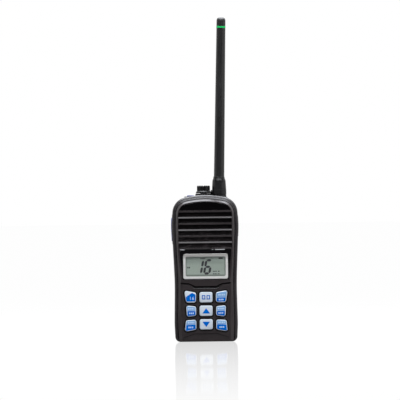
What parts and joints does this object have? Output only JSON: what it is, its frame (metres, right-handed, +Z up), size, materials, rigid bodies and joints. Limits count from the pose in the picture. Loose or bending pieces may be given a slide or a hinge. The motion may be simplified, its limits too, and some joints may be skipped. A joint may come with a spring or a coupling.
{
  "type": "handheld vhf marine radio",
  "caption": "Handheld marine radio with whip antenna, lobed volume knob, speaker grille, framed display, keypad, side talk button, battery pack and belt clip.",
  "frame": {"origin": "centre of the flat bottom of the case, midway between the sides; y = 0 is the case's middle depth", "axes": "+Z up along the case and the antenna, the front with display and keys faces -Y, +X is the viewer's right"},
  "size_m": [0.0633, 0.0467, 0.3044],
  "materials": {
    "case_plastic": "fine grained black",
    "shell_plastic": "fine grained black",
    "gasket_rubber": "matt",
    "steel": "zinc plated",
    "gloss_black": "polished",
    "cloth": "woven black",
    "speaker_metal": "matt",
    "paper_cone": "matt",
    "dark_nylon": "as moulded",
    "frame_silver": "satin silver paint",
    "clear_lens": "clear",
    "lcd_glass": "satin grey green",
    "white_diffuser": "matt",
    "key_rubber": "satin pale blue grey",
    "board_green": "solder mask",
    "can_steel": "tin plated",
    "cast_alloy": "as cast",
    "knob_rubber": "satin black",
    "brass": "machined",
    "button_blue": "satin dark blue",
    "ptt_blue": "matt blue",
    "antenna_rubber": "satin black",
    "band_green": "satin green",
    "cover_rubber": "matt black",
    "battery_plastic": "fine grained black",
    "cell_wrap": "shrink film"
  },
  "bodies": {
    "case": {"rear_case": "case_plastic", "front_shell": "shell_plastic", "case_gasket": "gasket_rubber", "case_screws": "steel", "name_plate": "gloss_black", "speaker_cloth": "cloth", "speaker_basket": "speaker_metal", "speaker_cone": "paper_cone", "microphone": "speaker_metal", "display_panel": "gloss_black", "lcd_frame": "frame_silver", "lcd_lens": "clear_lens", "lcd_panel": "lcd_glass", "backlight": "white_diffuser", "keypad_mat": "gasket_rubber", "control_board": "board_green", "main_board": "board_green", "shield_can": "can_steel", "chassis": "cast_alloy", "volume_pot": "cast_alloy", "knob_collar": "case_plastic", "antenna_jack": "brass", "button_bezel": "gasket_rubber", "top_switch": "dark_nylon", "ptt_bezel": "gasket_rubber", "ptt_switch": "dark_nylon", "accessory_jack": "dark_nylon", "case_contacts": "brass"},
    "key_upper_left_body": {"key_upper_left": "key_rubber"},
    "key_upper_centre_body": {"key_upper_centre": "key_rubber"},
    "key_upper_right_body": {"key_upper_right": "key_rubber"},
    "key_middle_left_body": {"key_middle_left": "key_rubber"},
    "key_middle_centre_body": {"key_middle_centre": "key_rubber"},
    "key_middle_right_body": {"key_middle_right": "key_rubber"},
    "key_lower_left_body": {"key_lower_left": "key_rubber"},
    "key_lower_centre_body": {"key_lower_centre": "key_rubber"},
    "key_lower_right_body": {"key_lower_right": "key_rubber"},
    "top_button_body": {"top_button": "button_blue"},
    "ptt_button_body": {"ptt_button": "ptt_blue"},
    "volume": {"volume_knob": "knob_rubber", "volume_shaft": "steel"},
    "antenna_seat": {"antenna_seal": "gasket_rubber"},
    "antenna": {"antenna_boot": "antenna_rubber", "antenna_whip": "antenna_rubber", "antenna_core": "brass", "antenna_band": "band_green", "antenna_tip": "antenna_rubber", "antenna_plug": "brass"},
    "socket_cover": {"jack_cover": "cover_rubber"},
    "battery": {"battery_case": "battery_plastic", "battery_cover": "battery_plastic", "battery_cells": "cell_wrap", "battery_contacts": "brass", "clip_bracket": "battery_plastic", "clip_pin": "steel", "clip_spring": "steel", "clip_screws": "steel"},
    "latch": {"battery_latch": "knob_rubber"},
    "clip": {"belt_clip": "battery_plastic"}
  },
  "joints": [
    {"name": "key_upper_left_press", "type": "slide", "parent": "case", "child": "key_upper_left_body", "axis": [0, 1, 0], "range_m": [0, 0.0007], "stiffness_N_per_m": 900},
    {"name": "key_upper_centre_press", "type": "slide", "parent": "case", "child": "key_upper_centre_body", "axis": [0, 1, 0], "range_m": [0, 0.0007], "stiffness_N_per_m": 900},
    {"name": "key_upper_right_press", "type": "slide", "parent": "case", "child": "key_upper_right_body", "axis": [0, 1, 0], "range_m": [0, 0.0007], "stiffness_N_per_m": 900},
    {"name": "key_middle_left_press", "type": "slide", "parent": "case", "child": "key_middle_left_body", "axis": [0, 1, 0], "range_m": [0, 0.0007], "stiffness_N_per_m": 900},
    {"name": "key_middle_centre_press", "type": "slide", "parent": "case", "child": "key_middle_centre_body", "axis": [0, 1, 0], "range_m": [0, 0.0007], "stiffness_N_per_m": 900},
    {"name": "key_middle_right_press", "type": "slide", "parent": "case", "child": "key_middle_right_body", "axis": [0, 1, 0], "range_m": [0, 0.0007], "stiffness_N_per_m": 900},
    {"name": "key_lower_left_press", "type": "slide", "parent": "case", "child": "key_lower_left_body", "axis": [0, 1, 0], "range_m": [0, 0.0007], "stiffness_N_per_m": 900},
    {"name": "key_lower_centre_press", "type": "slide", "parent": "case", "child": "key_lower_centre_body", "axis": [0, 1, 0], "range_m": [0, 0.0007], "stiffness_N_per_m": 900},
    {"name": "key_lower_right_press", "type": "slide", "parent": "case", "child": "key_lower_right_body", "axis": [0, 1, 0], "range_m": [0, 0.0007], "stiffness_N_per_m": 900},
    {"name": "top_button_press", "type": "slide", "parent": "case", "child": "top_button_body", "axis": [0, 0, -1], "range_m": [0, 0.001], "stiffness_N_per_m": 1200},
    {"name": "ptt_press", "type": "slide", "parent": "case", "child": "ptt_button_body", "axis": [1, 0, 0], "range_m": [0, 0.0012], "stiffness_N_per_m": 1500},
    {"name": "volume_turn", "type": "hinge", "parent": "case", "child": "volume", "pos_m": [-0.0011, 0.0005, 0.14], "axis": [0, 0, -1], "range_deg": [0, 290]},
    {"name": "antenna_lift", "type": "slide", "parent": "case", "child": "antenna_seat", "axis": [0, 0, 1], "range_m": [0, 0.00299]},
    {"name": "antenna_turn", "type": "hinge", "parent": "antenna_seat", "child": "antenna", "pos_m": [0.0136, 0.0005, 0.138], "axis": [0, 0, 1], "range_deg": [0, 1440]},
    {"name": "cover_hinge", "type": "hinge", "parent": "case", "child": "socket_cover", "pos_m": [0.03111, 0.0005, 0.0987], "axis": [0, 1, 0], "range_deg": [0, 110]},
    {"name": "battery_swing", "type": "hinge", "parent": "case", "child": "battery", "pos_m": [0, 0.0094, 0.0958], "axis": [1, 0, 0], "range_deg": [0, 20]},
    {"name": "latch_slide", "type": "slide", "parent": "battery", "child": "latch", "axis": [0, 0, 1], "range_m": [0, 0.0018], "stiffness_N_per_m": 400},
    {"name": "clip_hinge", "type": "hinge", "parent": "battery", "child": "clip", "pos_m": [0, 0.0229, 0.079], "axis": [1, 0, 0], "range_deg": [0, 15], "stiffness_Nm_per_rad": 0.4}
  ],
  "couplings": [
    {"joint": "antenna_turn", "follows": "antenna_lift", "rad_per_m": 8403.4}
  ]
}
